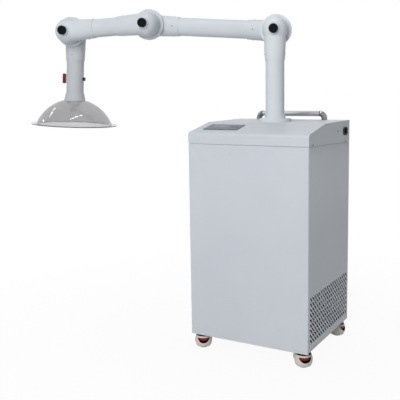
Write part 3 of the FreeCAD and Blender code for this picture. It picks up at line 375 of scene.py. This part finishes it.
# The window shimmers in patches of 25 mm, and the keys have a matt touch coat with a grain drawn at 3 mm.
read_out, tree, surface, place = start("liquid_crystal_window", "#657284", 0.18)
shimmer = add(tree, "ShaderNodeTexNoise", {"Scale": 40.0}, Vector=place)
two_tone(tree, surface, shimmer.outputs[0], "#606D7F", "#6A778A")
dulling(tree, surface, shimmer.outputs[0], 0.14, 0.22)
key_rubber, tree, surface, place = start("silicone_key_grey", "#647082", 0.5)
touch = add(tree, "ShaderNodeTexNoise", {"Scale": 300.0}, Vector=place)
two_tone(tree, surface, touch.outputs[0], "#5F6B7D", "#697588")
window = plate(low=(-0.048, -0.004), high=(0.018, 0.014), bottom=0.0020, top=0.0029, round_off=0.002)
piece("display_window", window, read_out, "cabinet")
key_profile = [(0, -0.001), (0.0048, -0.001), (0.0048, 0.0008), (0.0040, 0.0013), (0, 0.0015)]
key_row, key_height, key_seat = (0.031, 0.044, 0.057), 0.004, 0.0025
key_spots = [panel_middle + x * across + key_height * uphill + key_seat * outward for x in key_row]
keys = turned(key_profile, key_spots, [outward] * len(key_row), 24)
piece("display_keys", keys, key_rubber, "cabinet")

# Power inlet, tension knobs and damper nut: black glass-filled nylon, moulded with a fine spark-eroded grain.
# The grain keeps the gloss low, so the black stays deep even under the studio's white surround. It is drawn at
# 1.4 mm, because the real one is too fine to show.
black_nylon, tree, surface, place = start("black_glass_filled_nylon", "#0C0F13", 0.5, Specular_IOR_Level=0.1)
grain = add(tree, "ShaderNodeTexNoise", {"Scale": 700.0, "Detail": 2.0}, Vector=place)
two_tone(tree, surface, grain.outputs[0], "#090C10", "#12161B")
dulling(tree, surface, grain.outputs[0], 0.42, 0.6)
ripple(tree, surface, grain.outputs[0], 0.0001)
dress(black_nylon, "power_inlet", "elbow1_knob", "elbow2_knob", "elbow3_knob", "damper_nut")

# Push handle, tie rods and damper spindle: stainless steel, belt-ground along the bar.
# The belt's scratches run with the bar and blur its reflections; they are drawn 1 mm wide so that they show.
# The handle's bends are sleeved in a darker polished metal, with smears of about 22 mm; the darkness is
# painted reflection, standing in for the dark surroundings that the polished bends mirror.
stainless, tree, surface, place = start("ground_stainless_steel", "#D2D3D4", 0.28, Metallic=1.0)
along_bar = add(tree, "ShaderNodeMapping", {"Scale": (4.0, 900.0, 900.0)}, Vector=place)
scratches = add(tree, "ShaderNodeTexNoise", {"Scale": 1.0, "Detail": 2.0}, Vector=along_bar.outputs[0])
two_tone(tree, surface, scratches.outputs[0], "#C6C7C8", "#DDDEDF")
dulling(tree, surface, scratches.outputs[0], 0.22, 0.34)
dress(stainless, "push_handle", "upper_arm_tie_rods", "drop_tie_rod", "damper_shaft")
# Painted reflection: the bends' darker metal stands in for what the polished steel mirrors there.
bend_metal_painted_reflection, tree, surface, place = start("stainless_bend_painted_reflection", "#85878B", 0.1, Metallic=1.0)
smears = add(tree, "ShaderNodeTexNoise", {"Scale": 45.0, "Detail": 3.0}, Vector=place)
two_tone(tree, surface, smears.outputs[0], "#7B7D81", "#8F9195")
dulling(tree, surface, smears.outputs[0], 0.06, 0.14)


def elbow(side):
    """A closed sleeve round one bend of the handle.

    Its rings of points stand square to a path, a short straight foot and then a quarter circle, and the first
    and last ring shrink to a point to cap the ends.
    """
    bend, foot, tube, span, steps, sides = 0.020, 0.0055, 0.0122, 0.148, 13, 24
    low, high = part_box("push_handle")
    middle = np.array([side * (span - bend), (low[1] + high[1]) / 2, low[2] + foot])
    turn = np.linspace(0, math.pi / 2, steps)
    spots = middle + bend * np.column_stack((side * np.cos(turn), 0 * turn, np.sin(turn)))
    headings = np.column_stack((-side * np.sin(turn), 0 * turn, np.cos(turn)))
    spots = np.concatenate((spots[:1] - (0, 0, foot), spots[:1] - (0, 0, foot), spots, spots[-1:]))
    headings = np.concatenate((headings[:1], headings[:1], headings, headings[-1:]))
    radius = np.full(len(spots), tube)
    radius[[0, -1]] = 0
    angle = np.linspace(0, 2 * math.pi, sides + 1)
    level = np.array([0.0, 1.0, 0.0])
    ring = np.cos(angle)[:, None] * np.cross(headings, level)[:, None, :] + np.sin(angle)[:, None] * level
    return grid_quads(spots[:, None, :] + radius[:, None, None] * ring)


# Each bend of the handle is sleeved in the darker metal, which is painted reflection.
for side, label in ((1, "right"), (-1, "left")):
    piece(f"{label}_handle_bend_painted_reflection", elbow(side), bend_metal_painted_reflection, "cabinet")

# Extraction arm: white polypropylene tubes in moulded half shells that close on a rubber ring.
# Polypropylene is slightly waxy, with a soft sheen. The one white is painted in three tones along the arm: a
# lighter one as painted light at the flange, post and first front shell, and a darker one as painted shade at
# the last rear shell, hood drop and collar. Small screws hold the sleeves.


def polypropylene(name, dark, light):
    """Moulded polypropylene whose tone runs from dark to light with the flow in the mould, over some 140 mm.

    The mould's grain is drawn at 2.4 mm, because the real one is too fine to show.
    """
    made, tree, surface, place = start(name, light, 0.42, Specular_IOR_Level=0.35)
    flow = add(tree, "ShaderNodeTexNoise", {"Scale": 7.0, "Detail": 2.0}, Vector=place)
    two_tone(tree, surface, flow.outputs[0], dark, light)
    mould = add(tree, "ShaderNodeTexNoise", {"Scale": 420.0}, Vector=place)
    dulling(tree, surface, mould.outputs[0], 0.36, 0.5)
    ripple(tree, surface, mould.outputs[0], 0.00006)
    return made


white_plastic = polypropylene("white_moulded_polypropylene", "#D0D7DD", "#D6DDE3")
# Painted light in the lighter white and painted shade in the darker white; the plastic itself is one colour.
painted_light_plastic = polypropylene("white_polypropylene_painted_light", "#D9E0E5", "#DFE6EB")
painted_shade_plastic = polypropylene("white_polypropylene_painted_shade", "#C4C9CE", "#CACFD4")
# The seals' rubber carries a pale dusting in patches of 11 mm.
rubber, tree, surface, place = start("black_nitrile_rubber", "#1A1A1A", 0.75, Specular_IOR_Level=0.3)
dusting = add(tree, "ShaderNodeTexNoise", {"Scale": 90.0, "Detail": 3.0}, Vector=place)
two_tone(tree, surface, dusting.outputs[0], "#161616", "#222222")
dulling(tree, surface, dusting.outputs[0], 0.66, 0.85)
# The flange, post and first front shell get the painted light; the last rear shell, hood drop and collar get
# the painted shade.
dress(painted_light_plastic, "arm_base_flange", "post_tube", "elbow1_front_shell")
dress(white_plastic, "elbow1_rear_shell", "upper_arm_tube", "elbow2_rear_shell", "elbow2_front_shell",
      "forearm_tube", "elbow3_front_shell", "damper_disc")
dress(painted_shade_plastic, "elbow3_rear_shell", "drop_tube", "hood_collar")
dress(rubber, "upper_arm_seals", "drop_seal")
# The sleeve screws sit round each tube's end, so they follow the arm's angles at rest from joint to joint.
# Each tube's centre line is half a joint's width before or behind the joint's middle.
swing, lift, dip, lean = (math.radians(angle) for angle in (18.2, 4.2, 3.1, 3.2))
half_joint, upper_length, fore_length, sleeve_length, sleeve_radius = 0.046, 0.533, 0.347, 0.097, 0.0412
post_top = np.array([0.0, 0.042, 1.278])
out = np.array([-math.cos(swing), -math.sin(swing), 0.0])
ahead = np.array([math.sin(swing), -math.cos(swing), 0.0])
rise = np.array([0.0, 0.0, 1.0])
upper = math.cos(lift) * out + math.sin(lift) * rise
fore = math.cos(dip) * out - math.sin(dip) * rise
drop = math.sin(lean) * out - math.cos(lean) * rise
joint1 = post_top - half_joint * ahead
joint2 = joint1 + upper_length * upper
joint3 = joint2 + fore_length * fore
pan_head = [(0, -0.001), (0.0026, -0.001), (0.0026, 0.0007), (0.0019, 0.0013), (0.0009, 0.0014),
            (0.0007, 0.0009), (0, 0.0009)]
sleeves = {"arm_column": [(joint1 + half_joint * ahead, -rise)],
           "upper_arm": [(joint1 - half_joint * ahead, upper), (joint2 - half_joint * ahead, -upper)],
           "forearm": [(joint2 + half_joint * ahead, fore), (joint3 + half_joint * ahead, -fore)],
           "hood_drop": [(joint3 - half_joint * ahead, drop)]}
for body, ends in sleeves.items():
    bases, axes = [], []
    for middle, heading in ends:
        crosswise = np.cross(ahead, heading)
        around = (crosswise, -crosswise)
        if body in ("upper_arm", "hood_drop"):
            around = (ahead, -ahead, *around)
        bases += [middle + sleeve_length * heading + sleeve_radius * axis for axis in around]
        axes += around
    piece(f"{body}_sleeve_screws", turned(pan_head, bases, axes, 12), zinc_plate, body)

# Dome hood: clear vacuum-formed acrylic, clear enough to see through both walls, with a grey tint that is
# painted
# shade: it stands in for a grey surround seen through the walls. The tint is in the sheet, so it deepens where
# the eye looks along the wall; the skin is smooth enough to show the studio's strips as narrow bright streaks.
# Forming leaves faint changes of tone, over some 110 mm.
clear_acrylic_painted_grey, tree, surface, place = start("clear_acrylic_with_painted_shade", "#E4E4E5", 0.07,
                                            Transmission_Weight=1.0, IOR=1.49)
drawn = add(tree, "ShaderNodeTexNoise", {"Scale": 9.0}, Vector=place)
two_tone(tree, surface, drawn.outputs[0], "#E1E1E2", "#E7E7E8")
# Painted shade: the grey absorption stands in for the grey surround seen through the clear walls.
painted_grey_absorption = add(tree, "ShaderNodeVolumeAbsorption", {"Color": linear("#C4C3C5"), "Density": 150.0})
tree.links.new(painted_grey_absorption.outputs[0], tree.nodes["Material Output"].inputs["Volume"])
dress(clear_acrylic_painted_grey, "dome_hood")

# Damper handle, lock screw and caster dials: dark red acetal, moulded with a low gloss.
# The pigment swirls slightly with the flow in the mould, in patches of 17 mm.
red_acetal, tree, surface, place = start("red_moulded_acetal", "#7C151D", 0.4, Specular_IOR_Level=0.3)
swirl = add(tree, "ShaderNodeTexNoise", {"Scale": 60.0, "Detail": 3.0}, Vector=place)
two_tone(tree, surface, swirl.outputs[0], "#731219", "#871A22")
dulling(tree, surface, swirl.outputs[0], 0.34, 0.46)
corners = ("front_left", "front_right", "rear_left", "rear_right")
dress(red_acetal, "damper_handle", "lock_screw", *(f"{corner}_dial" for corner in corners))

# Casters: ivory nylon housings under dark plated steel plates, with black nylon wheels and rubber feet.
# Hexagon bolts hold the plates and dark caps keep dust out of the swivels; thin black sheets round the red
# dials are painted shade for the housings' dark insides.
# The nylon's matt grain is drawn at 5 mm, coarser than real so that it shows; the plating mottles over 7 mm.
ivory_nylon, tree, surface, place = start("ivory_moulded_nylon", "#DDD8CF", 0.45)
matt = add(tree, "ShaderNodeTexNoise", {"Scale": 200.0, "Detail": 3.0}, Vector=place)
two_tone(tree, surface, matt.outputs[0], "#D8D3CA", "#E2DDD4")
dulling(tree, surface, matt.outputs[0], 0.38, 0.52)
ripple(tree, surface, matt.outputs[0], 0.00008)
plated, tree, surface, place = start("dark_plated_steel", "#28272A", 0.45, Metallic=1.0)
mottle = add(tree, "ShaderNodeTexNoise", {"Scale": 150.0}, Vector=place)
two_tone(tree, surface, mottle.outputs[0], "#232225", "#2E2D30")
dulling(tree, surface, mottle.outputs[0], 0.36, 0.52)
dress(ivory_nylon, *(f"{corner}_caster_housing" for corner in corners))
dress(plated, "caster_plates")
dress(black_nylon, *(f"{corner}_wheel" for corner in corners))
dress(rubber, *(f"{corner}_foot" for corner in corners))
hexagon_head = [(0, 0), (0.0046, 0), (0.0046, 0.0026), (0.0040, 0.0031), (0, 0.0031)]
stem_x, front_y, rear_y, plate_under, bolt_reach = 0.217, -0.186, 0.191, 0.068, 0.0215
stems = [(x, y) for x in (-stem_x, stem_x) for y in (front_y, rear_y)]
bolt_sides = [(x, y) for x in (-bolt_reach, bolt_reach) for y in (-bolt_reach, bolt_reach)]
bases = np.array([(x + dx, y + dy, plate_under) for x, y in stems for dx, dy in bolt_sides])
piece("caster_bolts", turned(hexagon_head, bases, [-rise] * len(bases), 6), plated, "cabinet")
dust_cap = [(0.0224, 0), (0.0250, 0), (0.0252, 0.0040), (0.0298, 0.0118), (0.0290, 0.0118), (0.0266, 0.0085),
            (0.0254, 0.0070), (0.0245, 0.0057), (0.0224, 0.0057), (0.0224, 0)]
bases = np.array([(x, y, plate_under) for x, y in stems])
piece("caster_dust_caps", turned(dust_cap, bases, [-rise] * len(bases), 40), plated, "cabinet")


def window_shade_sheet(middle, heading):
    """A thin black sheet in a housing's crescent window, closed round its edges: painted shade for the
    housing's dark inside.

    Its four-cornered section is carried along the window's arc: outward it stops just short of the housing's
    skin, which is a circle's arc in height, and inward it stops at the foot below the dial and clear of the
    dial beside it. The section shrinks to a point at both ends, and the whole is turned to its heading.
    """
    window_height, window_radius, shade_sheet_thickness, skin_inset = 0.0526, 0.0241, 0.0006, 0.0002
    skin_radius, skin_middle, skin_height = 0.041, -0.00633, 0.034415
    dial_under, foot_clear, dial_clear = 0.037, 0.0196, 0.0299
    half_arc, steps = 1.36, 45
    turn = np.linspace(-half_arc, half_arc, steps)
    section = []
    for radius in (window_radius, window_radius - shade_sheet_thickness):
        x, z = radius * np.sin(turn), window_height - radius * np.cos(turn)
        skin = skin_middle + np.sqrt(skin_radius ** 2 - (z - skin_height) ** 2) - skin_inset
        inner = np.where(z < dial_under, foot_clear, dial_clear)
        edges = [np.stack((x, -np.sqrt(reach ** 2 - x ** 2), z), axis=-1) for reach in (skin, inner)]
        section += edges if not section else edges[::-1]
    loop = np.stack(section + section[:1], axis=1)
    ends = np.broadcast_to(loop[[0, -1], :4].mean(axis=1)[:, None], (2, 5, 3))
    loop = np.concatenate((ends[:1], loop, ends[1:]))
    swivel = math.radians(heading)
    turned_round = np.array([(math.cos(swivel), math.sin(swivel), 0),
                             (-math.sin(swivel), math.cos(swivel), 0),
                             (0, 0, 1)])
    return grid_quads(loop @ turned_round + (*middle, 0.0))


headings = {"front_left": 30, "front_right": 37, "rear_left": -60, "rear_right": 88}
# Painted shade: a thin black sheet in each window stands for the dark inside of the housing.
for corner, middle in zip(corners, (stems[0], stems[2], stems[1], stems[3])):
    shade_sheet = window_shade_sheet(middle, headings[corner])
    piece(f"{corner}_window_shade_sheet", shade_sheet, black_nylon, f"{corner}_caster")

# Studio: a pale floor without an edge, a white surround and a large soft key light near the camera.
# Weak lights lift the top and the back; two narrow strips and a small card show only in gloss, where they draw
# the bright streaks on the dome.
floor_mesh = bpy.data.meshes.new("studio_floor")
reach = 14.0
floor_corners = [(-reach, -reach, 0), (reach, -reach, 0), (reach, reach, 0), (-reach, reach, 0)]
floor_mesh.from_pydata(floor_corners, [], [(0, 1, 2, 3)])
floor = bpy.data.objects.new("studio_floor", floor_mesh)
bpy.context.scene.collection.objects.link(floor)
paper, tree, surface, place = start("white_paper_sweep", "#DADADA", 0.9)


def seen_directly(tree):
    """One for rays from the camera, a mirror or glass, and nought for the rest."""
    rays = add(tree, "ShaderNodeLightPath")
    seen = add(tree, "ShaderNodeMath", {"operation": "MAXIMUM"}, _0=rays.outputs["Is Camera Ray"],
               _1=rays.outputs["Is Glossy Ray"])
    return add(tree, "ShaderNodeMath", {"operation": "MAXIMUM"}, _0=seen.outputs[0],
               _1=rays.outputs["Is Transmission Ray"]).outputs[0]


white = add(tree, "ShaderNodeEmission", {"Color": (1, 1, 1, 1), "Strength": 1.0})
away = add(tree, "ShaderNodeVectorMath", {"operation": "LENGTH"}, _0=place)
glow = add(tree, "ShaderNodeMapRange", {"From Min": 0.3, "From Max": 1.8, "To Min": 0.94, "To Max": 1.0},
           Value=away.outputs["Value"])
share = add(tree, "ShaderNodeMath", {"operation": "MULTIPLY"}, _0=seen_directly(tree), _1=glow.outputs[0])
mixed = add(tree, "ShaderNodeMixShader", _0=share.outputs[0], _1=surface.outputs[0], _2=white.outputs[0])
tree.links.new(mixed.outputs[0], tree.nodes["Material Output"].inputs["Surface"])
floor_mesh.materials.append(paper)

world = bpy.data.worlds.new("white_surround")
world.use_nodes = True
bpy.context.scene.world = world
tree = world.node_tree
tree.nodes.clear()
ambient = add(tree, "ShaderNodeBackground", {"Color": (0.93, 0.96, 1.0, 1.0), "Strength": 0.15})
backdrop = add(tree, "ShaderNodeBackground", {"Color": (1, 1, 1, 1), "Strength": 1.0})
mixed = add(tree, "ShaderNodeMixShader", _0=seen_directly(tree), _1=ambient.outputs[0], _2=backdrop.outputs[0])
add(tree, "ShaderNodeOutputWorld", Surface=mixed.outputs[0])


def lamp(name, spot, target, length, width, watts, mirrored):
    """A soft light at a spot, turned to face the target, its length level.

    A mirrored one shows only in gloss. None shows through glass, so the dome keeps its grey from every side.
    """
    light = bpy.data.lights.new(name, "AREA")
    light.shape = "RECTANGLE"
    light.size = length
    light.size_y = width
    light.energy = watts
    light.color = (1.0, 0.99, 0.98)
    holder = bpy.data.objects.new(name, light)
    holder.visible_glossy = mirrored
    holder.visible_diffuse = not mirrored
    holder.visible_transmission = False
    bpy.context.scene.collection.objects.link(holder)
    aim = np.array(target) - spot
    aim = aim / np.linalg.norm(aim)
    side = np.cross(aim, (0, 0, 1))
    side = side / np.linalg.norm(side)
    turn = np.eye(4)
    turn[:3, :4] = np.column_stack((side, np.cross(side, aim), -aim, spot))
    holder.matrix_world = Matrix(turn.tolist())


lamp("key_light", (0.5, -3.85, 2.35), (-0.1, 0.0, 0.6), 2.2, 2.2, 118, False)
lamp("top_light", (-0.3, 0.4, 3.6), (-0.2, 0.0, 0.8), 2.4, 2.4, 25, False)
lamp("rear_fill", (-1.0, 4.2, 2.2), (-0.1, 0.0, 0.7), 2.2, 2.2, 40, False)
lamp("ceiling_strip", (-0.06, -0.59, 3.13), (-0.809, -0.391, 0.95), 1.75, 0.13, 13, True)
lamp("left_strip", (-2.60, -0.30, 2.55), (-0.85, -0.25, 0.95), 1.15, 0.11, 3.6, True)
lamp("left_card", (-2.70, -0.50, 1.82), (-0.92, -0.30, 0.92), 0.10, 0.09, 0.7, True)

# Camera: at the height of the hood, well to the right of the front, looking slightly down.
# Its place and angles come from the cabinet's edges in a frame 400 pixels square.
frame_pixels, focal_pixels, axis_row, sensor = 400, 688.609, 175, 36.0
camera_spot = (1.144302, -2.520115, 1.062132)
yaw, pitch, roll = -0.52959, 0.1297, -0.01588
camera_data = bpy.data.cameras.new("studio_camera")
camera_data.sensor_width = sensor
camera_data.lens = sensor * focal_pixels / frame_pixels
camera_data.shift_y = (axis_row - frame_pixels / 2) / frame_pixels
camera = bpy.data.objects.new("studio_camera", camera_data)
bpy.context.scene.collection.objects.link(camera)
bpy.context.scene.camera = camera
forward = np.array([math.sin(yaw) * math.cos(pitch), math.cos(yaw) * math.cos(pitch), -math.sin(pitch)])
right = np.array([math.cos(yaw), -math.sin(yaw), 0.0])
up = np.cross(right, forward)
tilted_right = math.cos(roll) * right + math.sin(roll) * up
tilted_up = math.cos(roll) * up - math.sin(roll) * right
stand = np.eye(4)
stand[:3, :4] = np.column_stack((tilted_right, tilted_up, -forward, camera_spot))
camera.matrix_world = Matrix(stand.tolist())

bpy.context.scene.view_settings.view_transform = "Standard"
